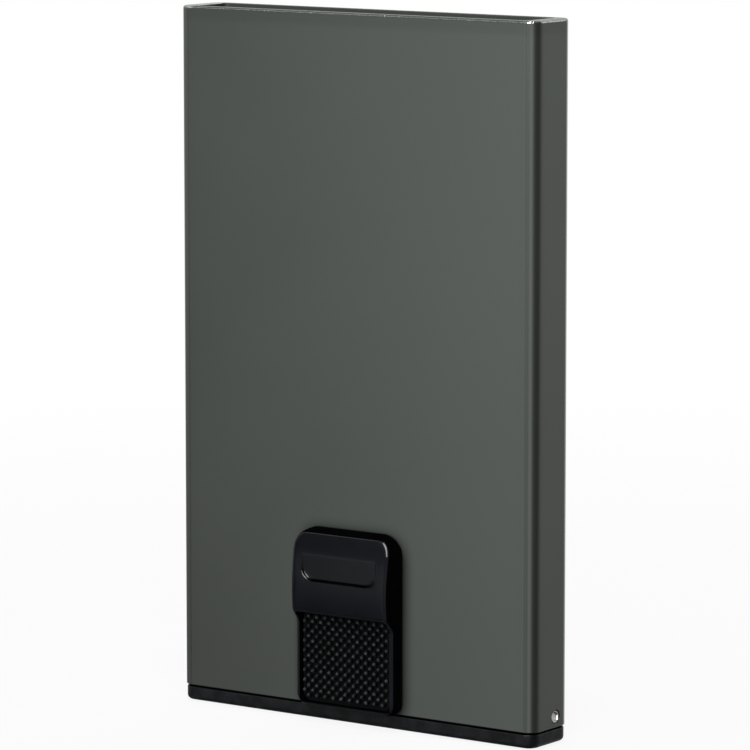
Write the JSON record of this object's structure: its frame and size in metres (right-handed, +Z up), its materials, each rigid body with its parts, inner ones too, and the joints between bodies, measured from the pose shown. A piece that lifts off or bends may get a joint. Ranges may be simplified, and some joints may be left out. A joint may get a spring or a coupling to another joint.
{
  "type": "card wallet",
  "caption": "Flat aluminium card case, open at the top, with a moulded base and a thumb slider on its front that lifts the cards out in a fan.",
  "frame": {"origin": "middle of the base's underside, where the wallet stands", "axes": "+Z up along the tube towards its open top, -Y towards the thumb slider, +X to the right as the slider faces the viewer"},
  "size_m": [0.062, 0.013, 0.102],
  "materials": {
    "anodised_tube": "satin dark grey-green anodised",
    "moulded_base": "matt moulded black",
    "gloss_button": "glossy moulded black",
    "rubber_pad": "moulded grip of small studs",
    "acetal_lifter": "satin dark grey",
    "felt": "charcoal felt",
    "steel_pin": "bright ground face",
    "spring_leaf": "rolled spring steel",
    "zinc_screw": "zinc plated"
  },
  "bodies": {
    "housing": {"housing_tube": "anodised_tube", "base_cap": "moulded_base", "base_pin_left": "steel_pin", "base_pin_right": "steel_pin", "base_foot_left": "rubber_pad", "base_foot_right": "rubber_pad", "card_guide_strip_left": "felt", "card_guide_strip_right": "felt"},
    "slider": {"slider_button": "gloss_button", "slider_grip_pad": "rubber_pad", "card_lifter": "acetal_lifter", "slider_screw_lower": "zinc_screw", "slider_screw_upper": "zinc_screw", "button_glide_left": "felt", "button_glide_right": "felt", "guide_spring_left": "spring_leaf", "guide_spring_right": "spring_leaf"}
  },
  "joints": [
    {"name": "slider_slide", "type": "slide", "parent": "housing", "child": "slider", "axis": [0, 0, 1], "range_m": [0, 0.013]}
  ]
}
